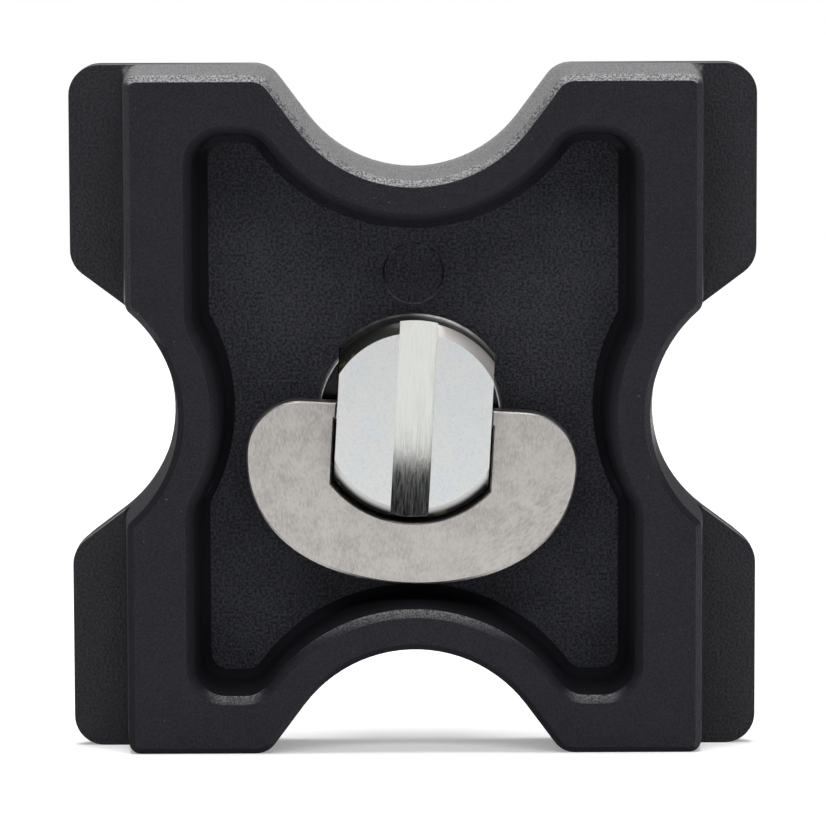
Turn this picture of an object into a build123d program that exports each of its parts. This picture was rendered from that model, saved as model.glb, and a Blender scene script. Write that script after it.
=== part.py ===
"""Tripod quick release plate with a captive camera screw and a folding half-moon key.

Millimetres. The plate stands on its lower edge as it does on a table: X runs across it, Z up,
and Y from the tripod side (towards -Y) to the camera side (towards +Y). The pieces are drawn on
an upright plate whose middle is the origin and whose pocket floor is Y = 0, and then leaned
forward on to the drafted lower walls. The finished origin is on the screw axis, half way along
the thread.
"""
import math
import os

from build123d import *

# Plate, seen from the tripod side
flange_width = 45.5       # over the ears, across
flange_height = 45.5      # over the ears, up and down
flange_corner = 2.0       # round at the ear corners and at the notch mouths
web_thickness = 3.0       # floor of the pocket and the ears
rim_width = 38.5          # raised rim at its root, across
rim_depth = 6.0           # raised rim above the pocket floor
rim_corner = 1.2          # round at the rim's corners and beside the side notches
draft = 4.0               # degrees, mould draft of the rim and the pocket
rim_edge_chamfer = 0.4
lip_chamfer = 0.5
floor_chamfer = 0.5

# The four notches: an arc with straight flanks that open towards the edge
notch_depth = 6.9         # from the edge of the flange to the deepest point
notch_radius = 8.7
notch_flank = 36.8        # degrees between a flank and the line through the notch

# Walls between the rim's root and the pocket's root
side_wall = 5.15
end_wall = 4.6
notch_wall = 3.45
pocket_corner = 1.7

# Camera side
jaw_bevel = 1.8           # sloping flanks on the ears that the clamp's jaws hold
back_edge_chamfer = 0.4
pad_thickness = 1.0
pad_margin = 2.4          # from the edge of the flange to the edge of the pad
pad_hole_radius = 4.4
pad_groove_width = 0.9
pad_groove_pitch = 2.8
pad_groove_depth = 0.35
pad_groove_margin = 1.3   # plain border round the grooves

# Ring that the mould's ejector pin leaves in the pocket floor
ejector_radius = 2.05
ejector_height = 8.9
ejector_line = 0.13        # width of the ring
ejector_depth = 0.12

# Camera screw, quarter inch by 20 threads to the inch
thread_radius = 3.175
stud_length = 5.5         # beyond the pad
thread_chamfer = 0.6
neck_radius = 2.25
screw_hole_radius = 2.6   # smaller than the thread, so the screw stays in the plate
neck_play = 0.02          # left under the neck where it hangs in its hole
screw_travel = 1.6        # loose travel of the screw along its axis
head_radius = 6.5
head_flats = 10.14
head_recess = 0.35        # face below the rim
head_chamfer_radial = 0.55
head_chamfer_axial = 0.7
slot_width = 2.5
slot_depth = 1.9          # in the middle
saw_radius = 60.0         # of the saw that leaves the slot's floor hollow along its length
screw_turn = 3.2          # degrees, clockwise from the tripod side

# Loose washer under the head
washer_radius = 6.2
washer_thickness = 0.8
washer_hole_radius = 2.75
washer_edge = 0.2         # chamfer on the side of the head
washer_play = 0.1         # left between the washer and the neck that it hangs on
seat_gap = 0.02           # between flat faces that bear on each other

# Folding key
key_thickness = 2.0
key_level = 2.8           # pivot axis above the pocket floor
key_wall_gap = 1.5        # to the pocket's waist at the sides
key_foot_gap = 1.04       # to the pocket's waist below
key_lobe_top = 0.72       # above the pivot
key_lobe_round = 0.607    # share of an arm's width that its rounded corner takes
key_side_pull = 0.57      # share of its height that a side runs down before it turns in
key_crown_pull = 0.65     # share of the half width that the crown stays flat
key_side_gap = 0.18       # between an arm and the flat of the head
key_boss_gap = 0.06       # at the bosses round the pivot
key_boss_foot = 0.3       # lower end of a boss, below the pivot
key_arc_gap = 0.5         # between the key and the round of the head
key_edge_chamfer = 0.1

# Pivot pins, pressed into the key and turning in the head
pin_radius = 0.6
pin_clearance = 0.05
pin_reach = 1.5           # into the head
pin_hold = 0.34           # share of an arm's width, which ends before the corner
pin_end_gap = 0.2         # at the bottom of each hole

# Worked out from the sizes above
half_width = flange_width / 2
half_height = flange_height / 2
waist_x = half_width - notch_depth - notch_wall
waist_z = half_height - notch_depth - notch_wall
seat = web_thickness + pad_thickness
screw_drop = screw_hole_radius - neck_radius - neck_play
thread_start = web_thickness + screw_travel
stud_tip = seat + stud_length
thread_middle = (thread_start + stud_tip) / 2
washer_top = seat_gap + washer_thickness
head_base = washer_top + seat_gap
head_face = rim_depth - head_recess
head_height = head_face - head_base
flat_offset = head_flats / 2
washer_shift = (washer_hole_radius - neck_radius - washer_play) / math.sqrt(2)
key_half_width = waist_x - key_wall_gap
key_drop = waist_z - screw_drop - key_foot_gap
arm_face = flat_offset + key_boss_gap
arm_width = key_half_width - arm_face
lobe_corner = key_lobe_round * arm_width
pin_end = arm_face + pin_hold * arm_width
lean = draft


def notch_places():
    """Places of the deepest points of the four notches, each turned to open outwards."""
    halves = (half_height, half_width, half_height, half_width)
    return [Rot(Z=90 * turn) * Pos(0, half - notch_depth) for turn, half in enumerate(halves)]


def notch_outline():
    """One notch: an arc with its deepest point at the origin, and flanks that run out upwards."""
    flank = math.radians(notch_flank)
    across = notch_radius * math.cos(flank)
    level = notch_radius * (1 - math.sin(flank))
    reach = notch_depth + notch_radius
    mouth = across + (reach - level) * math.tan(flank)
    arc = ThreePointArc((-across, level), (0, 0), (across, level))
    sides = Polyline((across, level), (mouth, reach), (-mouth, reach), (-across, level))
    return make_face([arc, *sides.edges()])


def rounded(outline, radius):
    """Rounds the outward corners of an outline."""
    return offset(offset(outline, -radius), radius)


def flange_outline():
    """The whole plate: a rectangle with the four notches."""
    outline = Rectangle(flange_width, flange_height)
    for place in notch_places():
        outline -= place * notch_outline()
    return rounded(outline, flange_corner)


def rim_outline():
    """The raised rim at its root: the whole plate without the ears."""
    between_ears = Rectangle(rim_width, 2 * flange_height)
    return rounded(flange_outline() & between_ears, rim_corner)


def pocket_outline():
    """The pocket at its floor: a rectangle between the walls, waisted round the four notches."""
    outline = Rectangle(rim_width - 2 * side_wall, flange_height - 2 * end_wall)
    for place in notch_places():
        outline -= place * Pos(0, notch_radius) * Circle(notch_radius + notch_wall)
    return rounded(outline, pocket_corner)


def at_level(level):
    """Drawing plane facing the tripod side, this far in front of the pocket floor."""
    return Plane.XZ.offset(level)


def plate_body():
    """The moulding: a web with four ears, a drafted rim round a pocket and four notches."""
    web = extrude(at_level(0) * flange_outline(), -web_thickness)
    back_edges = web.faces().sort_by(Axis.Y)[-1].edges()
    web = chamfer(back_edges, back_edge_chamfer)
    start = web_thickness - jaw_bevel
    bevel = Polyline((half_width + jaw_bevel, start - jaw_bevel),
                     (half_width + jaw_bevel, start + 2 * jaw_bevel),
                     (half_width - 2 * jaw_bevel, start + 2 * jaw_bevel), close=True)
    flank = extrude(make_face(bevel), half_height, both=True)
    web -= flank
    web -= mirror(flank, about=Plane.YZ)

    rim = extrude(at_level(0) * rim_outline(), rim_depth, taper=draft)
    face = rim.faces().sort_by(Axis.Y)[0]
    rim = chamfer(face.outer_wire().edges(), rim_edge_chamfer)

    pocket = extrude(at_level(0) * pocket_outline(), rim_depth, taper=-draft)
    pocket_floor = pocket.faces().sort_by(Axis.Y)[-1]
    pocket = chamfer(pocket_floor.edges(), floor_chamfer)
    body = web + (rim - pocket)
    rim_face = body.faces().sort_by(Axis.Y)[0]
    body = chamfer(rim_face.inner_wires()[0].edges(), lip_chamfer)

    ring = Circle(ejector_radius) - Circle(ejector_radius - ejector_line)
    mark = Pos(0, 0, ejector_height) * (at_level(-ejector_depth) * ring)
    body -= extrude(mark, 2 * ejector_depth)
    hole = extrude(at_level(-web_thickness) * Circle(screw_hole_radius), web_thickness)
    return body - hole


def grip_pad():
    """Rubber pad on the camera side, with grip grooves inside a plain border."""
    flange = flange_outline()
    outline = offset(flange, -pad_margin) - Circle(pad_hole_radius)
    pad = extrude(at_level(-web_thickness) * outline, -pad_thickness)
    field = offset(flange, -pad_margin - pad_groove_margin)
    field -= Circle(pad_hole_radius + pad_groove_margin)
    count = int(flange_height / pad_groove_pitch) + 1
    stripes = Sketch() + GridLocations(0, pad_groove_pitch, 1, count) * Rectangle(
        flange_width, pad_groove_width)
    grooves = at_level(-seat) * (stripes & field)
    return pad - extrude(grooves, pad_groove_depth)


def on_screw(shape):
    """Moves a shape drawn round the origin to the screw, which hangs in its hole, turned."""
    return Pos(0, 0, -screw_drop) * Rot(Y=screw_turn) * shape


def round_bar(radius, start, end):
    """A cylinder along the screw axis between two levels in front of the pocket floor."""
    return extrude(at_level(start) * Circle(radius), end - start)


def cross_bar(radius, start, end):
    """Two cylinders along the pivot axis, one each side, between two distances from the screw."""
    bar = extrude(Plane.YZ.offset(start) * Pos(-key_level, 0) * Circle(radius), end - start)
    return [bar, mirror(bar, about=Plane.YZ)]


def camera_screw():
    """Slotted head with two flats, a thin neck through the plate and the threaded stud."""
    head = round_bar(head_radius, head_base, head_face)
    front = head.faces().sort_by(Axis.Y)[0]
    head = chamfer(front.edges(), head_chamfer_axial, head_chamfer_radial, reference=front)
    waist = extrude(at_level(head_base) * Rectangle(head_flats, 2 * head_radius), head_height)
    head &= waist
    saw = Plane.YZ * Pos(slot_depth - head_face - saw_radius, 0) * Circle(saw_radius)
    head -= extrude(saw, slot_width / 2, both=True)
    for bore in cross_bar(pin_radius + pin_clearance, flat_offset - pin_reach - pin_end_gap,
                          flat_offset):
        head -= bore
    stud = round_bar(thread_radius, -stud_tip, -thread_start)
    stud = chamfer(stud.edges().filter_by(GeomType.CIRCLE), thread_chamfer)
    neck = round_bar(neck_radius, -thread_start, head_base)
    return on_screw(head + neck + stud)


def flat_washer():
    """Washer between the head and the plate, hanging loosely on the neck."""
    ring = round_bar(washer_radius, seat_gap, washer_top)
    ring -= round_bar(washer_hole_radius, seat_gap, washer_top)
    front = ring.faces().sort_by(Axis.Y)[0]
    ring = chamfer(front.outer_wire().edges(), washer_edge)
    return Pos(-washer_shift, 0, -screw_drop - washer_shift) * ring


def key_outline():
    """Half-moon outline about the pivot: rounded lobes and full sides that run into the crown."""
    level = key_lobe_top - lobe_corner
    turn_in = level - key_side_pull * (level + key_drop)
    lobe_x = key_half_width - lobe_corner
    flat_x = key_crown_pull * key_half_width
    right = [
        Line((0, key_lobe_top), (lobe_x, key_lobe_top)),
        CenterArc((lobe_x, level), lobe_corner, 0, 90),
        Bezier((key_half_width, level), (key_half_width, turn_in), (flat_x, -key_drop),
               (0, -key_drop)),
    ]
    left = [mirror(edge, about=Plane.YZ) for edge in right]
    return make_face(right + left)


def key_opening():
    """What the key leaves free round the head, closer at the two bosses beside the pivot."""
    room = Circle(head_radius + key_arc_gap)
    height = 2 * (head_radius + key_arc_gap)
    between_bosses = room & Rectangle(2 * arm_face, height)
    below = Pos(0, -key_boss_foot - height / 2) * Rectangle(
        2 * (flat_offset + key_side_gap), height)
    return between_bosses + (room & below)


def folding_key():
    """Half-moon key that straddles the head, open at the top, with a pin hole in each arm."""
    outline = key_outline() - key_opening()
    key = extrude(at_level(key_level - key_thickness / 2) * outline, key_thickness)
    faces = key.faces().filter_by(Axis.Y)
    key = chamfer(faces.edges(), key_edge_chamfer)
    for hole in cross_bar(pin_radius, flat_offset, pin_end + pin_end_gap):
        key -= hole
    return on_screw(key)


def pivot_pins():
    """Two pins on one axis, from the arms of the key into the flats of the head."""
    return on_screw(Part() + cross_bar(pin_radius, flat_offset - pin_reach, pin_end))


def stand(shape):
    """Leans a piece on to the lower walls and puts the origin in the middle of the thread."""
    return Rot(X=lean) * Pos(0, -thread_middle, screw_drop) * shape


os.makedirs("parts", exist_ok=True)
export_step(stand(plate_body()), "parts/plate_body.step")
export_step(stand(grip_pad()), "parts/grip_pad.step")
export_step(stand(camera_screw()), "parts/camera_screw.step")
export_step(stand(flat_washer()), "parts/flat_washer.step")
export_step(stand(folding_key()), "parts/folding_key.step")
export_step(stand(pivot_pins()), "parts/pivot_pins.step")
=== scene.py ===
"""Looks of a tripod quick release plate with a captive camera screw and a folding half-moon key.

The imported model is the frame: metres, +Z up, the screw axis through the origin. The plate stands on
its lower edge and leans forward on its mould draft, so every pattern is laid out in the plate's own
axes: X across, Y from the tripod side to the camera side, Z up the plate.
"""

import logging
import math
from dataclasses import dataclass
from enum import Enum
from typing import ClassVar

import bmesh
import bpy
from mathutils import Matrix, Vector


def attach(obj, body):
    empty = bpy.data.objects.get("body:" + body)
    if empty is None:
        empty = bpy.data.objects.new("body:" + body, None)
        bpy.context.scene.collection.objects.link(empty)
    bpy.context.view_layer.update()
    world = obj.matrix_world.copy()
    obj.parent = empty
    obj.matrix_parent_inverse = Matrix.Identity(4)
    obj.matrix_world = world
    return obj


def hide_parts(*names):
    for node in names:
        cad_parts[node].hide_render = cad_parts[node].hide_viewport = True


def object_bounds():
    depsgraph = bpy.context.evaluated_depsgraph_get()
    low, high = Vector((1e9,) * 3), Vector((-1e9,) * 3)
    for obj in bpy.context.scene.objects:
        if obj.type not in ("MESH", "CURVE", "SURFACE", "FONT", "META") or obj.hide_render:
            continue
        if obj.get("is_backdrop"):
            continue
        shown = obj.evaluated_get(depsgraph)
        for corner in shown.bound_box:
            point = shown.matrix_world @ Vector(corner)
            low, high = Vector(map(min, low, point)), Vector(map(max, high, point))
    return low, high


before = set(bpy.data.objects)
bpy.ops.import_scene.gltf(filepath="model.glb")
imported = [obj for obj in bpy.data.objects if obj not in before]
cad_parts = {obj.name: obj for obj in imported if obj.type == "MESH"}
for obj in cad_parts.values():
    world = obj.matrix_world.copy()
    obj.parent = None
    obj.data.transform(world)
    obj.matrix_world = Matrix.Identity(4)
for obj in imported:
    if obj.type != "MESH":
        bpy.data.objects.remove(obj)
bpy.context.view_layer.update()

log = logging.getLogger("plate")
logging.basicConfig(level=logging.INFO, format="%(name)s: %(message)s")

# Tolerances, bends of edges and the usual range of noise.
MM = 0.001
TOUCH = 0.01 * MM
WELD = 0.0005 * MM
FLAT = math.radians(0.4)
CREASE = math.radians(25)
SHARP = math.radians(40)
NOISE = (0.3, 0.7)

Pair = tuple[float, float]
Triple = tuple[float, float, float]
Colour = Triple
Inputs = dict[str | int, object]
Socket = bpy.types.NodeSocket
Material = bpy.types.Material
Solid = bmesh.types.BMesh
Vert = bmesh.types.BMVert


class Body(Enum):
    """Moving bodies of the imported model."""

    PLATE = "plate"
    WASHER = "washer"
    SCREW = "screw"
    KEY = "key"


class Patch(Enum):
    """Places on the camera screw that have a finish of their own."""

    FACE = 0
    SLOT = 1
    SIDE = 2
    CHAMFER = 3
    THREAD = 4
    COLLAR = 5


@dataclass(frozen=True)
class PlateAxes:
    """Where the upright plate stands in the frame.

    Attributes:
        lean: forward lean in radians.
        floor_back: from the pocket floor to the origin, along the screw.
        screw_drop: screw axis below the middle of the plate.
    """

    lean: float = math.radians(4.0)
    floor_back: float = 7.05 * MM
    screw_drop: float = 0.33 * MM

    def upright(self) -> Matrix:
        """Returns the matrix from the frame to the plate's axes, about its pocket floor."""
        shift = Matrix.Translation((0.0, -self.floor_back, self.screw_drop))
        return (Matrix.Rotation(self.lean, 4, "X") @ shift).inverted()

    def screw_axis(self) -> Vector:
        """Returns the direction of the screw, towards the camera side."""
        return Vector((0.0, math.cos(self.lean), math.sin(self.lean)))


PLATE = PlateAxes()
UPRIGHT = PLATE.upright()
AXIS = PLATE.screw_axis()


class Board:
    """Node tree of a finish or of the surroundings, with short calls that add and join nodes."""

    def __init__(self, name: str, store: bpy.types.bpy_prop_collection | None = None) -> None:
        """Starts a tree with its shader.

        Args:
            name: name of the material or world.
            store: where the world is kept, or None for a material.
        """
        self.owner = (bpy.data.materials if store is None else store).new(name)
        self.owner.use_nodes = True
        self.tree = self.owner.node_tree
        self.shader = self.tree.nodes["Principled BSDF" if store is None else "Background"]

    def fill(self, node: bpy.types.Node, values: Inputs) -> None:
        """Links or sets inputs of a node.

        Args:
            node: node of the tree.
            values: an output or a plain value for each input, by its name or number.
        """
        for key, value in values.items():
            if isinstance(value, Socket):
                self.tree.links.new(value, node.inputs[key])
            else:
                node.inputs[key].default_value = value

    def add(self, kind: str, out: str | int, values: Inputs, **settings: str) -> Socket:
        """Adds a node.

        Args:
            kind: its type without the ShaderNode prefix.
            out: name or number of the output that is wanted.
            values: what goes into its inputs.
            settings: its properties.

        Returns:
            The output.
        """
        node = self.tree.nodes.new("ShaderNode" + kind)
        for key, value in settings.items():
            setattr(node, key, value)
        self.fill(node, values)
        return node.outputs[out]

    def places(self, turn: float = 0.0, scale: Triple = (1.0, 1.0, 1.0)) -> Socket:
        """Object coordinates in the plate's axes, about the pocket floor under the screw.

        Args:
            turn: turn in radians about the screw.
            scale: stretch along the three axes, after the turn.

        Returns:
            The vector output.
        """
        place = self.add("TexCoord", "Object", {})
        plate = {"Rotation": (-PLATE.lean, 0.0, 0.0), "Location": (0.0, PLATE.floor_back, 0.0)}
        for step in (plate, {"Rotation": (0.0, turn, 0.0)}, {"Scale": scale}):
            place = self.add("Mapping", 0, {"Vector": place, **step})
        return place

    def drawn(self, name: str) -> Socket:
        """Reads an attribute of the mesh."""
        return self.add("Attribute", "Fac", {}, attribute_name=name)

    def noise(self, vector: Socket, scale: float, detail: float, rough: float,
              bend: float = 0.0) -> Socket:
        """Draws noise in space, with a scale in cells to the metre and a detail in octaves."""
        return self.add("TexNoise", "Fac", {"Vector": vector, "Scale": scale, "Detail": detail,
                                            "Roughness": rough, "Distortion": bend})

    def span(self, value: Socket, low: float, high: float, start: float = 0.0, end: float = 1.0,
             easing: str = "SMOOTHSTEP") -> Socket:
        """Maps values from low to high onto start to end, and holds them beyond."""
        values = dict(enumerate((value, low, high, start, end)))
        return self.add("MapRange", 0, values, interpolation_type=easing)

    def sum(self, operation: str, first: object, second: object = 0.0) -> Socket:
        """Takes one step of arithmetic, by the Math node's name for it."""
        return self.add("Math", 0, {0: first, 1: second}, operation=operation)

    def blend(self, share: Socket, first: object, second: object) -> Socket:
        """Mixes two colours by the share of the second."""
        pair = [side if isinstance(side, Socket) else (*side, 1.0) for side in (first, second)]
        return self.add("Mix", 2, {0: share, 6: pair[0], 7: pair[1]}, data_type="RGBA")

    def between(self, share: Socket, first: object, second: object) -> Socket:
        """Mixes two numbers by the share of the second."""
        return self.add("Mix", 0, {0: share, 2: first, 3: second}, data_type="FLOAT")

    def ragged(self, value: Socket, cloud: Socket, reach: float) -> Socket:
        """Moves a value to and fro by noise, within a reach."""
        sway = self.sum("MULTIPLY", self.sum("SUBTRACT", cloud, 0.5), reach)
        return self.sum("ADD", value, sway)

    def both(self, first: Socket, much: float, second: Socket, more: float) -> Socket:
        """Adds two values, each times its weight."""
        parts = [self.sum("MULTIPLY", *part) for part in ((first, much), (second, more))]
        return self.sum("ADD", *parts)

    def axis(self, vector: Socket, name: str) -> Socket:
        """Takes the X, Y or Z of a place."""
        return self.add("SeparateXYZ", name, {0: vector})

    def length(self, vector: Socket) -> Socket:
        """Measures a vector."""
        return self.add("VectorMath", "Value", {0: vector}, operation="LENGTH")

    def from_screw(self, vector: Socket) -> Socket:
        """Measures how far a place in the plate's axes is from the screw axis."""
        flat = self.add("VectorMath", 0, {0: vector, 1: (1.0, 0.0, 1.0)}, operation="MULTIPLY")
        return self.length(flat)

    def relief(self, height: Socket, depth: float, **under: Socket) -> Socket:
        """Raises a bump of a depth in metres, over the Normal of a coarser one if given."""
        return self.add("Bump", 0, {"Strength": 1.0, "Distance": depth, "Height": height, **under})

    def ray(self, kind: str) -> Socket:
        """Tells whether a ray is of some kind."""
        return self.add("LightPath", f"Is {kind} Ray", {})

    def bright(self) -> Socket:
        """Tells rays of the camera, of mirrors and of glass from others."""
        camera, mirror, glass = map(self.ray, ("Camera", "Glossy", "Transmission"))
        return self.sum("MAXIMUM", camera, self.sum("MAXIMUM", mirror, glass))

    def dress(self, **sockets: object) -> bpy.types.ID:
        """Fills the shader's sockets, named with _ for a space, and returns the owner."""
        self.fill(self.shader, {name.replace("_", " "): value for name, value in sockets.items()})
        return self.owner

    def metal(self, colour: Socket, rough: Socket, height: Socket, depth: float) -> Material:
        """Dresses the shader as metal with a relief."""
        return self.dress(Base_Color=colour, Metallic=1.0, Roughness=rough,
                          Normal=self.relief(height, depth))


@dataclass(frozen=True)
class GrainedPlastic:
    """Black moulding with a spark-eroded grain, coarser in the pocket and on the ears.

    Its gloss and colour follow an attribute of the mesh: 1 where a highlight is painted in a lighter
    colour under a gloss coat, -1 where shade is painted in the pits' dark colour with a higher
    roughness.

    Attributes:
        dark: colour in the grain's pits, which is also the colour of the painted shade.
        light: colour on its peaks.
        floor: the same two colours on the pocket floor.
        ears: the same two colours on the ears.
        lit: colour of the painted highlight on the edges.
        scuff: colour of the scuffed ring.
        dust: colour of the dust.
        tint: tint of the gloss.
        grain: grain cells to the metre on the rim, and on the pocket floor and ears.
        depth: depth of the grain on the rim and in the pocket.
        scuff_radius: radius of the ring that the washer has rubbed on the pocket floor.
        scuff_width: distances from it at which the ring begins to fade and has gone.
        ear_edge: distances from the middle between which the ears begin.
        shine: strength of the gloss.
        coat_rough: roughness of the gloss coat over the painted highlight.
        rough: roughness in the pits and on the peaks.
        shaded_rough: roughness where shade is painted.
    """

    dark: Colour = (0.0014, 0.0013, 0.0036)
    light: Colour = (0.0115, 0.0108, 0.0160)
    floor: tuple[Colour, Colour] = ((0.0085, 0.0090, 0.0118), (0.044, 0.046, 0.056))
    ears: tuple[Colour, Colour] = ((0.0070, 0.0070, 0.0092), (0.021, 0.021, 0.025))
    lit: Colour = (0.11, 0.11, 0.11)
    scuff: Colour = (0.055, 0.055, 0.058)
    dust: Colour = (0.10, 0.10, 0.10)
    tint: Colour = (0.94, 0.92, 1.0)
    grain: Pair = (8200.0, 5600.0)
    depth: Pair = (0.10 * MM, 0.22 * MM)
    scuff_radius: float = 6.7 * MM
    scuff_width: Pair = (0.05 * MM, 0.28 * MM)
    ear_edge: Pair = (19.0 * MM, 19.3 * MM)
    shine: float = 0.22
    coat_rough: float = 0.36
    rough: Pair = (0.46, 0.30)
    shaded_rough: float = 0.75

    def make(self) -> Material:
        """Makes the finish.

        Returns:
            The material.
        """
        board = Board("grained_plastic")
        place = board.places()
        ear = board.span(board.sum("ABSOLUTE", board.axis(place, "X")), *self.ear_edge)
        flat = board.drawn(Moulding.floor)
        deep = board.sum("MAXIMUM", flat, ear)
        height = board.between(deep, *(board.noise(place, cells, 3.0, 0.6) for cells in self.grain))
        cloud = board.noise(place, 420.0, 3.0, 0.55)
        tone = board.both(height, 0.88, cloud, 0.12)
        pits, peaks = (board.blend(ear, board.blend(flat, rim, floor), ears) for rim, floor, ears
                       in zip((self.dark, self.light), self.floor, self.ears))
        colour = board.blend(board.span(tone, 0.38, 0.62), pits, peaks)
        away = board.sum("SUBTRACT", board.from_screw(place), self.scuff_radius)
        ring = board.span(board.sum("ABSOLUTE", away), *self.scuff_width, 1.0, 0.0)
        marked = board.span(board.noise(place, 900.0, 3.0, 0.7), 0.52, 0.70, 0.0, 0.5)
        scuff = board.sum("MULTIPLY", board.sum("MULTIPLY", ring, marked), deep)
        colour = board.blend(scuff, colour, self.scuff)
        dust = board.span(board.noise(place, 3300.0, 1.0, 0.5), 0.775, 0.80, 0.0, 0.6)
        colour = board.blend(dust, colour, self.dust)
        # Painted light from the mesh's attribute: above 0, a lighter colour under a gloss coat paints
        # a highlight; below 0, the pits' dark colour paints shade.
        painted_light = board.drawn(Moulding.painted_light)
        lit = board.sum("MULTIPLY", board.span(painted_light, 0.0, 1.0),
                           board.span(height, 0.40, 0.58, 0.2, 1.0))
        shaded = board.span(painted_light, -1.0, 0.0, 1.0, 0.0)
        colour = board.blend(lit, board.blend(shaded, colour, self.dark), self.lit)
        gloss = board.between(shaded, board.span(height, *NOISE, *self.rough), self.shaded_rough)
        rise = board.sum("MULTIPLY", deep, board.span(ear, 0.0, 1.0, 1.0, 0.3))
        lift = board.between(rise, *(depth / MM for depth in self.depth))
        relief = board.relief(board.sum("MULTIPLY", height, lift), MM)
        return board.dress(Base_Color=colour, Roughness=gloss, Specular_IOR_Level=self.shine,
                           Specular_Tint=(*self.tint, 1.0), Coat_Weight=lit,
                           Coat_Roughness=self.coat_rough, Coat_IOR=1.9, Normal=relief,
                           Coat_Normal=relief)


@dataclass(frozen=True)
class RubberGrip:
    """Matt black rubber with a dusty bloom and a fine tooth of some depth."""

    dark: Colour = (0.010, 0.010, 0.011)
    bloom: Colour = (0.034, 0.033, 0.032)
    depth: float = 0.018 * MM

    def make(self) -> Material:
        """Makes the finish.

        Returns:
            The material.
        """
        board = Board("rubber_grip")
        place = board.places()
        tooth = board.noise(place, 6200.0, 4.0, 0.6)
        cloud = board.noise(place, 260.0, 4.0, 0.6)
        share = board.span(cloud, 0.36, 0.72, 0.0, 0.8)
        colour = board.blend(share, self.dark, self.bloom)
        rough = board.span(tooth, *NOISE, 0.74, 0.92)
        return board.dress(Base_Color=colour, Roughness=rough, Specular_IOR_Level=0.3,
                           Normal=board.relief(tooth, self.depth))


@dataclass(frozen=True)
class SatinSteel:
    """Stainless sheet with a short brushed grain and a soft mottle.

    The strokes run up and down, and turn to follow the outline at the lower right.

    Attributes:
        name: name of the material.
        colour: mean colour.
        mottle: darker colour of the mottle.
        stretch: length of the grain's strokes to their width.
        turns: turns of the strokes about the screw, in radians, upright and at the lower right.
        corner: distances to the lower right between which the strokes turn.
        rough: roughness between its smooth and its dull places.
        depth: depth of the strokes.
    """

    name: str = "satin_steel"
    colour: Colour = (0.49, 0.465, 0.445)
    mottle: Colour = (0.328, 0.312, 0.296)
    stretch: float = 3.0
    turns: Pair = (math.radians(4.0), math.radians(-48.0))
    corner: Pair = (9.0 * MM, 15.0 * MM)
    rough: Pair = (0.34, 0.48)
    depth: float = 0.014 * MM

    def make(self) -> Material:
        """Makes the finish.

        Returns:
            The material.
        """
        board = Board(self.name)
        even = board.places()
        upright, aslant = (board.places(turn, (1.0, 1.0, 1.0 / self.stretch)) for turn in self.turns)
        corner = board.sum("SUBTRACT", board.axis(even, "X"), board.axis(even, "Z"))
        side = board.span(corner, *self.corner)
        strokes = board.between(side, board.noise(upright, 9000.0, 3.0, 0.7),
                                board.noise(aslant, 8000.0, 3.0, 0.7))
        cloud = board.noise(even, 900.0, 4.0, 0.65)
        tone = board.both(strokes, 0.6, cloud, 0.4)
        colour = board.blend(board.span(tone, 0.34, 0.62), self.mottle, self.colour)
        rough = board.span(strokes, *NOISE, *self.rough)
        return board.metal(colour, rough, strokes, self.depth)


@dataclass(frozen=True)
class PlatedSteel:
    """Matt zinc plating with faint blue and rosy tints and fine specks."""

    colour: Colour = (0.64, 0.65, 0.645)
    blue: Colour = (0.605, 0.64, 0.665)
    rose: Colour = (0.66, 0.64, 0.63)
    speck: Colour = (0.42, 0.42, 0.43)

    def make(self) -> Material:
        """Makes the finish.

        Returns:
            The material.
        """
        board = Board("plated_steel")
        place = board.places()
        cool = board.span(board.noise(place, 380.0, 3.0, 0.6), 0.42, 0.68, 0.0, 0.8)
        warm = board.span(board.noise(place, 310.0, 2.0, 0.5, 0.6), 0.52, 0.75, 0.0, 0.7)
        colour = board.blend(warm, board.blend(cool, self.colour, self.blue), self.rose)
        grain = board.noise(place, 7000.0, 3.0, 0.65)
        specks = board.span(grain, 0.50, 0.74, 0.0, 0.32)
        colour = board.blend(specks, colour, self.speck)
        rough = board.span(grain, *NOISE, 0.44, 0.56)
        return board.metal(colour, rough, grain, 0.008 * MM)


@dataclass(frozen=True)
class SawnSteel:
    """Bright bottom and sides of the screw's slot, with strokes of the saw along it.

    Attributes:
        turn: turn of the slot about the screw, in radians.
        colour: mean colour.
        line: darker colour of the strokes.
        stain: colour of the smudges.
    """

    turn: float
    colour: Colour = (0.455, 0.46, 0.44)
    line: Colour = (0.40, 0.41, 0.41)
    stain: Colour = (0.41, 0.41, 0.36)

    def make(self) -> Material:
        """Makes the finish.

        Returns:
            The material.
        """
        board = Board("sawn_steel")
        place = board.places(-self.turn, (1.0, 1.0, 0.045))
        strokes = board.noise(place, 9000.0, 3.0, 0.7)
        smudge = board.noise(board.places(), 650.0, 3.0, 0.6)
        colour = board.blend(board.span(strokes, 0.44, 0.66, 0.0, 0.55), self.colour, self.line)
        stain = board.span(smudge, 0.56, 0.74, 0.0, 0.4)
        colour = board.blend(stain, colour, self.stain)
        rough = board.span(strokes, *NOISE, 0.08, 0.15)
        return board.metal(colour, rough, strokes, 0.004 * MM)


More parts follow.
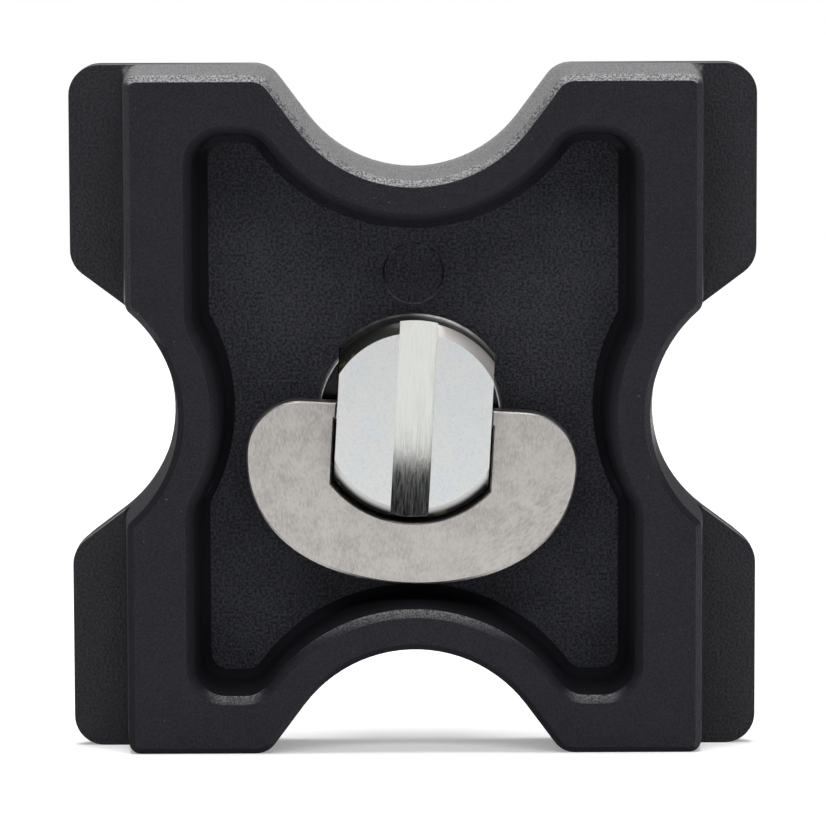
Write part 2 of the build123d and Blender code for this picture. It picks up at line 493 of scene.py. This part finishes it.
@dataclass(frozen=True)
class TurnedSteel:
    """Lathe-turned and plated steel with fine rings, its left side darkened by a painted shade with a
    ragged edge, its right side lighter and rougher.

    Attributes:
        colour: colour on the lighter right side.
        shaded_side: colour of the painted shade on the left side.
        rough: roughness of the shaded and of the lighter side.
        lit: places across the screw where the lighter side begins and is full.
    """

    colour: Colour = (0.36, 0.355, 0.35)
    shaded_side: Colour = (0.11, 0.107, 0.095)
    rough: Pair = (0.12, 0.20)
    lit: Pair = (-4.0 * MM, 4.0 * MM)

    def make(self) -> Material:
        """Makes the finish.

        Returns:
            The material.
        """
        board = Board("turned_steel")
        place = board.places()
        rings = board.noise(board.places(0.0, (1.0, 14.0, 1.0)), 900.0, 3.0, 0.7)
        cloud = board.noise(place, 1500.0, 4.0, 0.65)
        # Painted shade: the left side is darker than the right, with a ragged edge.
        across = board.ragged(board.axis(place, "X"), cloud, 4.0 * MM)
        share = board.span(across, *self.lit)
        colour = board.blend(share, self.shaded_side, self.colour)
        rough = board.between(share, *self.rough)
        return board.metal(colour, rough, rings, 0.004 * MM)


@dataclass(frozen=True)
class ShadedStainedChamfer:
    """Chamfer round the head: dark with a painted shade and stained, but lighter at its upper right
    with a painted highlight.

    Attributes:
        lighter: colour of the upper right, a painted highlight.
        shaded: colour elsewhere, a painted shade.
        stain: colour of the stains.
        grey: colour along the face at the lower side, a painted highlight.
        aim: direction of the lighter place about the screw, in radians from across.
        edge: distances along that direction where the lighter place begins and is full.
        inner: radii where the grey along the face begins to fade and has gone.
        low: heights about the screw where it does so too.
        rough: roughness of the shaded and of the lighter place.
    """

    lighter: Colour = (0.36, 0.34, 0.325)
    shaded: Colour = (0.022, 0.022, 0.020)
    stain: Colour = (0.16, 0.15, 0.08)
    grey: Colour = (0.48, 0.48, 0.48)
    aim: float = math.radians(30.0)
    edge: Pair = (2.4 * MM, 3.6 * MM)
    inner: Pair = (5.95 * MM, 6.35 * MM)
    low: Pair = (-4.0 * MM, -1.0 * MM)
    rough: Pair = (0.30, 0.42)

    def make(self) -> Material:
        """Makes the finish.

        Returns:
            The material.
        """
        board = Board("shaded_stained_chamfer")
        place = board.places()
        across, up = board.axis(place, "X"), board.axis(place, "Z")
        cloud = board.noise(place, 1500.0, 4.0, 0.65)
        # Painted light: the upper right is lighter as a painted highlight, the rest is dark as a
        # painted shade with stains, and the grey along the face at the lower side is a painted
        # highlight.
        along = board.both(across, math.cos(self.aim), up, math.sin(self.aim))
        share = board.span(board.ragged(along, cloud, 2.0 * MM), *self.edge)
        stained = board.span(board.noise(place, 700.0, 2.0, 0.5), 0.56, 0.68, 0.0, 0.9)
        shaded = board.blend(stained, self.shaded, self.stain)
        low = board.span(up, *self.low, 1.0, 0.0)
        rim = board.span(board.from_screw(place), *self.inner, 1.0, 0.0)
        shaded = board.blend(board.sum("MULTIPLY", low, rim), shaded, self.grey)
        return board.metal(board.blend(share, shaded, self.lighter), board.between(share, *self.rough),
                           cloud, 0.006 * MM)


@dataclass(frozen=True)
class LitCollar:
    """Thin collar edge, lighter on its right side with a painted highlight and dark on its left with a
    painted shade.

    Attributes:
        colour: colour on the right side.
        shaded: colour on the left side, a painted shade.
        edge: places across the screw where the lighter side begins and is full.
        rough: roughness between its smoother and its rougher places.
    """

    colour: Colour = (0.15, 0.147, 0.144)
    shaded: Colour = (0.02, 0.02, 0.02)
    edge: Pair = (-0.5 * MM, 1.8 * MM)
    rough: Pair = (0.28, 0.42)

    def make(self) -> Material:
        """Makes the finish.

        Returns:
            The material.
        """
        board = Board("lit_collar")
        place = board.places()
        cloud = board.noise(place, 1800.0, 3.0, 0.6)
        # Painted light: the right side is lighter as a painted highlight, and the left darker as a
        # painted shade.
        share = board.span(board.axis(place, "X"), *self.edge)
        colour = board.blend(share, self.shaded, self.colour)
        rough = board.span(cloud, 0.35, 0.65, *self.rough)
        return board.metal(colour, rough, cloud, 0.004 * MM)


@dataclass(frozen=True)
class RolledThread:
    """Rolled thread, bright on its crests and dull with old grease in its roots.

    Attributes:
        crest: colour of the crests.
        root: colour of the roots.
        radii: radius at which the grease is thickest, and from which the thread is clean.
    """

    crest: Colour = (0.74, 0.74, 0.73)
    root: Colour = (0.17, 0.16, 0.14)
    radii: Pair = (2.5 * MM, 3.0 * MM)

    def make(self) -> Material:
        """Makes the finish.

        Returns:
            The material.
        """
        board = Board("rolled_thread")
        place = board.places()
        cloud = board.noise(place, 1400.0, 4.0, 0.65)
        reach = board.ragged(board.from_screw(place), cloud, 0.5 * MM)
        lighter = board.span(reach, *self.radii)
        rings = board.noise(board.from_screw(place), 4200.0, 3.0, 0.7)
        colour = board.blend(lighter, self.root, self.crest)
        colour = board.blend(board.span(rings, 0.42, 0.66, 0.0, 0.45), colour, self.crest)
        rough = board.span(lighter, 0.0, 1.0, 0.55, 0.24)
        relief = board.relief(rings, 0.010 * MM, Normal=board.relief(cloud, 0.006 * MM))
        return board.dress(Base_Color=colour, Metallic=1.0, Roughness=rough, Normal=relief)


@dataclass(frozen=True)
class ShadedWasher:
    """Washer, nearly black over its face as a painted shade, and bright metal round its edge as a
    painted highlight.

    Attributes:
        colour: colour of the face, a painted shade.
        bright: colour of the edge, a painted highlight.
        middle: middle of the washer across and up, about the screw.
        marked: radius at which the bright edge begins, and from which it is full.
    """

    colour: Colour = (0.022, 0.022, 0.024)
    bright: Colour = (1.0, 0.98, 0.95)
    middle: Pair = (-0.283 * MM, -0.283 * MM)
    marked: Pair = (5.94 * MM, 5.99 * MM)

    def make(self) -> Material:
        """Makes the finish.

        Returns:
            The material.
        """
        board = Board("shaded_washer")
        place = board.places()
        centre = (-self.middle[0], 0.0, -self.middle[1])
        centred = board.add("Mapping", 0, {"Vector": place, "Location": centre})
        scratch = board.noise(board.places(0.6, (1.0, 1.0, 0.05)), 8000.0, 3.0, 0.7)
        cloud = board.noise(place, 1100.0, 3.0, 0.6)
        reach = board.ragged(board.from_screw(centred), cloud, 0.04 * MM)
        # Painted light: the edge is bright metal as a painted highlight, and the face is nearly black
        # as a painted shade.
        marked = board.span(reach, *self.marked)
        colour = board.blend(marked, self.colour, self.bright)
        rough = board.between(marked, board.span(scratch, *NOISE, 0.18, 0.30), 0.34)
        return board.metal(colour, rough, scratch, 0.003 * MM)


def ramp(value: float, start: float, end: float) -> float:
    """Rises evenly from 0 at start to 1 at end, and is held beyond them."""
    return min(1.0, max(0.0, (value - start) / (end - start)))


def object_of(mesh: Solid, name: str, materials: list[Material]) -> bpy.types.Object:
    """Makes an object of a finished mesh.

    Args:
        mesh: finished mesh in the frame.
        name: name of the object.
        materials: its finishes, in the order of its faces' material numbers.

    Returns:
        The object.
    """
    data = bpy.data.meshes.new(name)
    mesh.to_mesh(data)
    mesh.free()
    for material in materials:
        data.materials.append(material)
    made = bpy.data.objects.new(name, data)
    bpy.context.scene.collection.objects.link(made)
    return made


class Assembly:
    """A group of pieces that ride on one body."""

    body: Body

    def coat(self, node: str, material: Material) -> None:
        """Gives a node of the frame its finish.

        Args:
            node: name of the node.
            material: its finish.
        """
        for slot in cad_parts[node].material_slots:
            slot.material = material
        log.info("%s wears %s", node, material.name)

    def seat(self, mesh: Solid, name: str, materials: list[Material],
             slot: str, node: str) -> bpy.types.Object:
        """Makes a piece of a finished mesh, in place of a node of the frame.

        Args:
            mesh: finished mesh in the frame.
            name: name of the piece.
            materials: its finishes.
            slot: material slot of the record, which is not used.
            node: node that it stands for.

        Returns:
            The piece.
        """
        for face in mesh.faces:
            face.smooth = True
        piece = object_of(mesh, name, materials)
        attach(piece, self.body.value)
        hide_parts(node)
        log.info("%s stands for %s with %d faces", name, node, len(piece.data.polygons))
        return piece

    def copy_of(self, node: str) -> Solid:
        """Copies a node's mesh with its triangles joined into whole faces.

        Args:
            node: name of the node.

        Returns:
            The joined copy.
        """
        mesh = bmesh.new()
        mesh.from_mesh(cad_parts[node].data)
        bmesh.ops.remove_doubles(mesh, verts=mesh.verts, dist=WELD)
        bmesh.ops.dissolve_limit(mesh, angle_limit=FLAT, verts=mesh.verts, edges=mesh.edges)
        return mesh

    def soften(self, mesh: Solid, edges: list[bmesh.types.BMEdge], reach: float, steps: int) -> None:
        """Rounds edges of a mesh, over a reach on both sides and in so many steps."""
        bmesh.ops.bevel(mesh, geom=edges, offset=reach, offset_type="OFFSET", segments=steps,
                        profile=0.5, affect="EDGES", material=-1, clamp_overlap=True)

    def cut(self, mesh: Solid, point: Vector, normal: Vector, clear: bool = False) -> None:
        """Cuts a mesh along a plane, and takes away what lies beyond it if clear is set."""
        geometry = mesh.verts[:] + mesh.edges[:] + mesh.faces[:]
        bmesh.ops.bisect_plane(mesh, geom=geometry, dist=WELD / 5, plane_co=point,
                               plane_no=normal, clear_outer=clear)

    def close(self, mesh: Solid) -> None:
        """Closes the open ends of a mesh."""
        rims = [edge for edge in mesh.edges if edge.is_boundary]
        bmesh.ops.holes_fill(mesh, edges=rims, sides=0)

    def weigh(self, piece: bpy.types.Object) -> None:
        """Lets the large faces of a piece lead its shading, up to its sharp edges."""
        piece.modifiers.new("weighted", "WEIGHTED_NORMAL").keep_sharp = True


@dataclass
class Moulding(Assembly):
    """The black moulding and the rubber pad on its camera side.

    Levels are distances in front of the pocket floor, and slants are shares of a direction.

    Attributes:
        rim_round: round on the edges of the rim, the pocket's lip and its floor.
        rim_level: level above which edges are the rim's.
        floor_level: level under which edges are the pocket floor's.
        mark: height of the ejector mark above the screw.
        mark_radius: radius round the mark that keeps its edges.
        hole_radius: radius round the screw that keeps its edges.
        pocket_half: half the width and half the height round the pocket floor.
        rim_half: half the width of the rim.
        lip_levels: levels from no painted shade to full painted shade on the pocket's lip.
        lip_lit: upward slants from no painted highlight to a full one on the pocket's lip.
        lip_front: forward slants from no painted highlight to a full one there.
        edge_lit: upward slants from no painted highlight to a full one on the rim's upper edges.
        lip_highlight: full painted highlight of the pocket's lip.
        wall_highlight: painted highlight of the walls under the rim's upper edges.
        lit_height: height above the plate's middle from which edges get a painted highlight.
        foot_height: depth below the plate's middle from which edges get a painted shade.
        ear_level: level just in front of the ears' faces.
        wall_slant: forward slant under which a face is a wall.
        floor_slant: forward slant above which a face is flat.
        ceiling_slant: upward slant under which the floor's edge stays plain.
        foot_slant: upward slants from no painted shade to full painted shade on the feet.
        left_slant: slants to the right from no painted shade to full painted shade on the left sides.
        rise_slant: upward slants from no painted shade to full painted shade in the side notches.
        lit_face: forward slants from the rim's face to its edges with a painted highlight.
        shaded_face: forward slants from the rim's face to its edges with a painted shade.
        pocket_levels: levels just above the pocket floor and just under the rim's face.
        painted_light: name of the attribute for its painted highlight and painted shade.
        floor: name of the attribute that is 1 on the pocket floor.
    """

    body: Body = Body.PLATE
    plastic: GrainedPlastic = GrainedPlastic()
    rubber: RubberGrip = RubberGrip()
    rim_round: float = 0.2 * MM
    rim_level: float = 5.3 * MM
    floor_level: float = 0.7 * MM
    mark: float = 9.23 * MM
    mark_radius: float = 2.3 * MM
    hole_radius: float = 3.0 * MM
    pocket_half: Pair = (14.6 * MM, 18.8 * MM)
    rim_half: float = 19.3 * MM
    lip_levels: Pair = (6.0 * MM, 5.5 * MM)
    lip_lit: Pair = (0.54, 0.70)
    lip_front: Pair = (0.2, 0.5)
    edge_lit: Pair = (0.22, 0.45)
    lip_highlight: float = 0.6
    wall_highlight: float = 0.4
    lit_height: float = 5.0 * MM
    foot_height: float = 15.0 * MM
    ear_level: float = 0.05 * MM
    wall_slant: float = 0.2
    floor_slant: float = 0.99
    ceiling_slant: float = -0.3
    foot_slant: Pair = (-0.4, -0.6)
    left_slant: Pair = (-0.2, -0.5)
    rise_slant: Pair = (0.1, 0.4)
    lit_face: Pair = (0.97, 0.9)
    shaded_face: Pair = (0.97, 0.8)
    pocket_levels: Pair = (0.001 * MM, 5.9995 * MM)
    painted_light: ClassVar[str] = "painted_light"
    floor: ClassVar[str] = "floor"

    def pocket_of(self, mesh: Solid) -> tuple[set[Vert], set[Vert]]:
        """Finds the pocket by growing from its floor up to the rim's face.

        Args:
            mesh: mesh of the moulding.

        Returns:
            The vertices of the pocket floor, and those of its walls and lip.
        """
        floor: set[Vert] = set()
        for face in mesh.faces:
            middle = UPRIGHT @ face.calc_center_median()
            facing = UPRIGHT.to_3x3() @ face.normal
            level = -facing.y > self.floor_slant and abs(middle.y) < TOUCH
            if level and abs(middle.x) < self.pocket_half[0]:
                floor.update(face.verts)
        pocket = set(floor)
        grown = list(floor)
        low, high = self.pocket_levels
        while grown:
            vert = grown.pop()
            for edge in vert.link_edges:
                other = edge.other_vert(vert)
                level = -(UPRIGHT @ other.co).y
                if other not in pocket and low < level < high:
                    pocket.add(other)
                    grown.append(other)
        return floor, pocket - floor

    def painted_light_of(self, vert: Vert, inside: bool) -> float:
        """Tells how much highlight and shade are painted on the moulding at a vertex outside the
        pocket floor.

        Args:
            vert: vertex of the moulding.
            inside: whether it is on the pocket's walls or lip.

        Returns:
            1, a painted highlight, on the rim's upper edges, less on the walls under them and on the
            pocket's lower lip,
            -1, a painted shade, in the pocket, round the feet, on the left and on the ears' sides, and
            0 elsewhere.
        """
        place = UPRIGHT @ vert.co
        facing = UPRIGHT.to_3x3() @ vert.normal
        level, front = -place.y, -facing.y
        # Painted shade on the ears' sides behind the rim's face.
        if level < self.ear_level and abs(place.x) > self.rim_half - TOUCH:
            return -1.0 if level < -TOUCH else 0.0
        if inside:
            if level < self.floor_level and facing.z < self.ceiling_slant:
                return 0.0
            # Painted highlight on the pocket's lower lip, and painted shade deeper down its walls.
            lip = ramp(facing.z, *self.lip_lit) * ramp(front, *self.lip_front)
            lip *= ramp(front, *self.lit_face)
            if lip > 0.0 and level > self.rim_level:
                return self.lip_highlight * lip
            return -ramp(level, *self.lip_levels)
        # Painted highlight on the rim's upper edges, weaker on the walls under them.
        if place.z > self.lit_height:
            edge = ramp(facing.z, *self.edge_lit)
            if front < self.wall_slant:
                return self.wall_highlight * edge
            return edge * ramp(front, *self.lit_face)
        # Painted shade round the feet, on the left sides and on the rising faces of the side notches.
        foot = ramp(facing.z, *self.foot_slant) if place.z < -self.foot_height else 0.0
        shaded = max(foot, ramp(facing.x, *self.left_slant), ramp(facing.z, *self.rise_slant))
        return -ramp(front, *self.shaded_face) * shaded

    def is_soft(self, edge: bmesh.types.BMEdge) -> bool:
        """Tells whether an edge is on the rim's face or at the pocket floor.

        Args:
            edge: edge of the moulding.

        Returns:
            Whether it has the larger round.
        """
        if not edge.is_manifold or edge.calc_face_angle() < CREASE:
            return False
        ends = [UPRIGHT @ vert.co for vert in edge.verts]
        if all(-end.y > self.rim_level for end in ends):
            return True
        middle = (ends[0] + ends[1]) / 2
        bare = (math.hypot(middle.x, middle.z - self.mark) < self.mark_radius
                or math.hypot(middle.x, middle.z) < self.hole_radius)
        inside = abs(middle.x) < self.pocket_half[0] and abs(middle.z) < self.pocket_half[1]
        level = all(-TOUCH < -end.y < self.floor_level for end in ends)
        return level and inside and not bare

    def build(self) -> None:
        """Rounds the edges of the moulding and marks where highlight and shade are painted on it, and
        its floor.
        """
        mesh = self.copy_of("plate_body")
        self.soften(mesh, [edge for edge in mesh.edges if self.is_soft(edge)], self.rim_round, 4)
        for side in (-1.0, 1.0):
            self.cut(mesh, Vector((side * self.rim_half, 0, 0)), Vector((1, 0, 0)))
        mesh.normal_update()
        # The first layer holds the painted highlight and painted shade for the plastic's colour.
        marked = mesh.verts.layers.float.new(self.painted_light)
        flat = mesh.verts.layers.float.new(self.floor)
        floor, walls = self.pocket_of(mesh)
        for vert in mesh.verts:
            vert[flat] = float(vert in floor)
            vert[marked] = 0.0 if vert in floor else self.painted_light_of(vert, vert in walls)
        piece = self.seat(mesh, "moulded_plate", [self.plastic.make()], "plate", "plate_body")
        piece.data.set_sharp_from_angle(angle=SHARP)
        self.weigh(piece)

    def dress(self) -> None:
        """Gives the pad its finish."""
        self.coat("grip_pad", self.rubber.make())


@dataclass
class Washer(Assembly):
    """The loose washer under the screw's head, with a round on its edges."""

    body: Body = Body.WASHER
    plating: ShadedWasher = ShadedWasher()
    edge: float = 0.2 * MM

    def build(self) -> None:
        """Rolls the edges of the washer."""
        mesh = self.copy_of("flat_washer")
        sharp = [edge for edge in mesh.edges if edge.is_manifold and edge.calc_face_angle() > CREASE]
        self.soften(mesh, sharp, self.edge, 4)
        self.seat(mesh, "rolled_washer", [self.plating.make()], "washer", "flat_washer")


@dataclass
class CameraScrew(Assembly):
    """The slotted screw with its flats, neck and quarter-inch thread.

    Attributes:
        pitch: thread pitch.
        major: radius at the crests.
        minor: radius at the roots.
        half_length: half the length of the thread.
        chamfer: chamfer at both ends of the thread.
        steps: steps of the thread to a turn.
        head_face: face of the head in front of the pocket floor.
        head_base: its foot in front of the pocket floor.
        chamfer_depth: depth of the chamfer round the head's face.
        head_radius: radius of the head.
        slot_width: width of the slot.
        slot_turn: turn of the slot about the screw, in radians.
        slot_level: lower limit of the slot, in front of the pocket floor.
        chamfer_slant: forward slant of the chamfer, at least.
        edge: round on the head's edges.
        crease: angle above which an edge is rounded.
        collar_levels: top of the collar at the foot of the head, and where its shoulder ends.
        collar_reach: how far the collar stands out.
    """

    body: Body = Body.SCREW
    pitch: float = 1.27 * MM
    major: float = 3.175 * MM
    minor: float = 2.43 * MM
    half_length: float = 2.45 * MM
    chamfer: float = 0.6 * MM
    steps: int = 48
    head_face: float = 5.65 * MM
    chamfer_depth: float = 0.7 * MM
    head_base: float = 0.84 * MM
    head_radius: float = 6.5 * MM
    slot_width: float = 2.5 * MM
    slot_turn: float = math.radians(3.2)
    slot_level: float = 3.0 * MM
    chamfer_slant: float = 0.3
    edge: float = 0.07 * MM
    crease: float = math.radians(28)
    collar_levels: Pair = (0.16 * MM, 0.225 * MM)
    collar_reach: float = 0.13 * MM

    def thread(self) -> Solid:
        """Sweeps one ridge round the axis and trims it to the stud.

        Returns:
            The thread with its two ends closed, along Z about the origin.
        """
        mesh = bmesh.new()
        start = -self.half_length - 1.5 * self.pitch
        crest = self.pitch / 8
        root = self.pitch / 6
        flank = (self.pitch - crest - root) / 2
        steps = ((self.minor, 0.0), (self.minor, root), (self.major, root + flank),
                 (self.major, root + flank + crest), (self.minor, self.pitch))
        line = [mesh.verts.new((radius, 0.0, start + rise)) for radius, rise in steps]
        edges = [mesh.edges.new(pair) for pair in zip(line, line[1:])]
        turns = math.ceil(2 * self.half_length / self.pitch) + 2
        rise = Vector((0.0, 0.0, self.pitch / self.steps))
        bmesh.ops.spin(mesh, geom=line + edges, cent=(0, 0, 0), axis=(0, 0, 1), dvec=rise,
                       angle=2 * math.pi * turns, steps=self.steps * turns)
        bmesh.ops.remove_doubles(mesh, verts=mesh.verts, dist=4 * WELD)
        for end in (-1.0, 1.0):
            self.cut(mesh, Vector((0, 0, end * self.half_length)), Vector((0, 0, end)), True)
        self.close(mesh)
        for vert in mesh.verts:
            limit = self.major - max(0.0, abs(vert.co.z) - self.half_length + self.chamfer)
            radius = vert.co.xy.length
            if radius > limit:
                vert.co.xy *= limit / radius
        bmesh.ops.recalc_face_normals(mesh, faces=mesh.faces)
        return mesh

    def head(self) -> Solid:
        """Copies the head and neck from the frame and softens their edges.

        Returns:
            The head and neck, without the stud.
        """
        mesh = self.copy_of("camera_screw")
        self.cut(mesh, AXIS * -self.half_length, AXIS, True)
        self.close(mesh)
        self.collar(mesh)
        shoulder = self.head_base + 2 * self.collar_levels[1] + PLATE.floor_back
        sharp = [edge for edge in mesh.edges
                 if edge.is_manifold and edge.calc_face_angle() > self.crease
                 and all(-vert.co.dot(AXIS) > shoulder for vert in edge.verts)]
        self.soften(mesh, sharp, self.edge, 2)
        return mesh

    def collar(self, mesh: Solid) -> None:
        """Spreads the foot of the head into a narrow collar.

        Args:
            mesh: mesh of the head, in the frame.
        """
        foot = AXIS * -(PLATE.floor_back + self.head_base)
        for level in self.collar_levels:
            self.cut(mesh, foot - AXIS * level, AXIS)
        for vert in mesh.verts:
            along = AXIS * vert.co.dot(AXIS)
            out = vert.co - along
            rise = (foot - along).dot(AXIS)
            near = -TOUCH < rise < self.collar_levels[0] + TOUCH
            if near and out.length > self.head_radius - 2 * TOUCH:
                vert.co += out.normalized() * self.collar_reach

    def patch_of(self, face: bmesh.types.BMFace) -> Patch:
        """Tells which finish a face of the head has.

        Args:
            face: face of the head.

        Returns:
            Its patch.
        """
        middle = UPRIGHT @ face.calc_center_median()
        facing = UPRIGHT.to_3x3() @ face.normal
        level = -middle.y
        if level > self.head_face - 3 * TOUCH:
            return Patch.FACE
        across = (middle.x * math.cos(self.slot_turn)
                  - (middle.z + PLATE.screw_drop) * math.sin(self.slot_turn))
        if abs(across) < self.slot_width / 2 + 2 * TOUCH and level > self.slot_level:
            return Patch.SLOT
        foot = self.head_face - self.chamfer_depth - 5 * TOUCH
        if -facing.y > self.chamfer_slant and level > foot:
            return Patch.CHAMFER
        rise = level - self.head_base
        if 0.0 < rise < self.collar_levels[1] and math.hypot(middle.x, middle.z) > self.minor * 2:
            return Patch.COLLAR
        return Patch.SIDE

    def build(self) -> None:
        """Builds the head and the thread as one piece."""
        mesh = self.head()
        for face in mesh.faces:
            face.material_index = self.patch_of(face).value
        thread = self.thread()
        turn = Matrix.Rotation(PLATE.lean - math.pi / 2, 4, "X")
        bmesh.ops.transform(thread, matrix=turn, verts=thread.verts)
        for face in thread.faces:
            face.material_index = Patch.THREAD.value
        swept = bpy.data.meshes.new("swept_thread")
        thread.to_mesh(swept)
        thread.free()
        mesh.from_mesh(swept)
        bpy.data.meshes.remove(swept)
        for edge in mesh.edges:
            edge.smooth = not edge.is_manifold or edge.calc_face_angle() < SHARP
        finishes = [finish.make() for finish in (
            PlatedSteel(), SawnSteel(self.slot_turn), TurnedSteel(), ShadedStainedChamfer(), RolledThread(),
            LitCollar())]
        self.weigh(self.seat(mesh, "threaded_screw", finishes, "screw", "camera_screw"))


@dataclass
class FoldingKey(Assembly):
    """The half-moon key and the two pins that it swings on."""

    body: Body = Body.KEY
    satin: SatinSteel = SatinSteel()
    ground: SatinSteel = SatinSteel("ground_steel", (0.62, 0.61, 0.59), (0.50, 0.49, 0.47),
                                    rough=(0.24, 0.34))

    def dress(self) -> None:
        """Gives the key and its pins their finishes."""
        self.coat("folding_key", self.satin.make())
        self.coat("pivot_pins", self.ground.make())


@dataclass(frozen=True)
class Softbox:
    """A lamp of the studio, which hangs at its place and faces its aim."""

    name: str
    place: Triple
    aim: Triple
    size: Pair
    watts: float

    def hang(self) -> None:
        """Hangs the lamp out of the camera's sight."""
        light = bpy.data.lights.new(self.name, "AREA")
        light.shape = "RECTANGLE"
        light.size, light.size_y = self.size
        light.energy = self.watts
        holder = bpy.data.objects.new(self.name, light)
        holder.location = self.place
        way = Vector(self.aim) - Vector(self.place)
        holder.rotation_euler = way.to_track_quat("-Z", "Y").to_euler()
        holder.visible_camera = False
        bpy.context.scene.collection.objects.link(holder)


@dataclass
class Studio:
    """White floor, soft light and the camera.

    Attributes:
        floor_level: height of the floor.
        target: middle of the rim's face, which the camera looks at.
        distance: camera to target.
        rise: angle of the camera above the target.
        yaw: angle of the camera to its left.
        roll: turn of the picture, anticlockwise.
        lens: focal length for a 36 mm sensor.
        shift: shift of the picture, as shares of its width.
        glow: the floor's own light to the camera, near the plate and far off.
        glow_span: distances between which that light grows.
        floor_half: half the width of the floor.
        card_front: distance of the dark card in front of the screw.
        card_half: half the width and half the height of the card.
        lamps: softboxes above and in front of the plate.
        soft_light: light of the surroundings on matt surfaces.
        room_light: light of the surroundings in front of the plate and behind it.
        back_turn: turn of the brighter half to the right, in radians.
        back_span: shares of a direction to the back where that half begins and is full.
    """

    floor_level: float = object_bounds()[0][2]
    target: Vector = Vector((0.0, -13.041 * MM, -0.581 * MM))
    distance: float = 350.0 * MM
    rise: float = math.radians(2.77)
    yaw: float = math.radians(0.256)
    roll: float = math.radians(0.205)
    lens: float = 233.3
    shift: Pair = (-0.0015, 0.0048)
    glow: Pair = (0.27, 0.82)
    glow_span: Pair = (0.12, 0.5)
    floor_half: float = 2.0
    card_front: float = 0.195
    card_half: Pair = (0.2, 0.08)
    lamps: tuple[Softbox, ...] = (
        Softbox("ceiling", (0.0, -0.03, 0.50), (0.0, -0.03, 0.0), (0.25, 0.25), 3.0),
        Softbox("fill", (0.0, -0.45, 0.40), (0.0, 0.0, 0.0), (0.7, 0.15), 2.0))
    soft_light: float = 0.25
    room_light: Pair = (0.4, 1.0)
    back_turn: float = math.radians(18.0)
    back_span: Pair = (-0.35, 0.15)

    def sheet(self, name: str, board: Board, place: Matrix) -> bpy.types.Object:
        """Lays a flat sheet that is no piece of the object.

        Args:
            name: name of the sheet.
            board: its finish.
            place: matrix from a square of half size 1 to the frame.

        Returns:
            The sheet.
        """
        mesh = bmesh.new()
        bmesh.ops.create_grid(mesh, x_segments=1, y_segments=1, size=1.0, matrix=place)
        sheet = object_of(mesh, name, [board.owner])
        sheet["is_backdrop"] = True
        return sheet

    def floor(self) -> None:
        """Lays the white floor, which keeps the shadow."""
        board = Board("white_paper")
        away = board.length(board.add("TexCoord", "Object", {}))
        glow = board.span(away, *self.glow_span, *self.glow)
        board.dress(Base_Color=(0.80, 0.80, 0.80, 1.0), Roughness=0.9, Specular_IOR_Level=0.1,
                    Emission_Color=(1.0, 1.0, 1.0, 1.0),
                    Emission_Strength=board.sum("MULTIPLY", board.bright(), glow))
        level = Matrix.Translation((0.0, 0.0, self.floor_level))
        self.sheet("floor", board, level @ Matrix.Diagonal((self.floor_half, self.floor_half, 1, 1)))

    def card(self) -> None:
        """Stands a dark card round the camera, which only the bright metal sees."""
        board = Board("dark_card")
        board.dress(Base_Color=(0.004, 0.004, 0.005, 1.0), Roughness=1.0, Specular_IOR_Level=0.0)
        middle = Vector((0.0, -self.card_front, self.floor_level + self.card_half[1]))
        upright = Matrix.Translation(middle) @ Matrix.Rotation(math.pi / 2, 4, "X")
        card = self.sheet("dark_card", board, upright @ Matrix.Diagonal((*self.card_half, 1, 1)))
        card.visible_camera = card.visible_diffuse = card.visible_shadow = False

    def light(self) -> None:
        """Hangs the softboxes and sets the white surroundings, dimmer in front."""
        for lamp in self.lamps:
            lamp.hang()
        board = Board("white_room", bpy.data.worlds)
        bpy.context.scene.world = board.owner
        back = (math.sin(self.back_turn), math.cos(self.back_turn), 0.0)
        depth = board.add("VectorMath", "Value", {0: board.add("TexCoord", "Generated", {}), 1: back},
                          operation="DOT_PRODUCT")
        mirrored = board.span(depth, *self.back_span, *self.room_light, "LINEAR")
        shine = board.between(board.bright(), self.soft_light, mirrored)
        seen = board.between(board.ray("Camera"), shine, 1.0)
        board.dress(Color=(1.0, 1.0, 1.0, 1.0), Strength=seen)

    def camera(self) -> None:
        """Sets the camera at the photograph's angle."""
        away = Vector((-math.sin(self.yaw) * math.cos(self.rise),
                       -math.cos(self.yaw) * math.cos(self.rise), math.sin(self.rise)))
        data = bpy.data.cameras.new("camera")
        data.sensor_width = 36.0
        data.lens = self.lens
        data.shift_x, data.shift_y = self.shift
        data.clip_start = 0.01
        camera = bpy.data.objects.new("camera", data)
        bpy.context.scene.collection.objects.link(camera)
        level = away.to_track_quat("Z", "Y").to_matrix().to_4x4()
        tilt = Matrix.Rotation(-self.roll, 4, "Z")
        camera.matrix_world = Matrix.Translation(self.target + away * self.distance) @ level @ tilt
        bpy.context.scene.camera = camera

    def build(self) -> None:
        """Sets the whole studio."""
        self.camera()
        self.floor()
        self.card()
        self.light()
        bpy.context.scene.view_settings.view_transform = "Standard"
        log.info("the studio is set")


def main() -> None:
    """Builds the sub-assemblies in order, and then the studio."""
    moulding = Moulding()
    moulding.build()
    moulding.dress()
    Washer().build()
    CameraScrew().build()
    FoldingKey().dress()
    Studio().build()


if __name__ == "__main__":
    main()
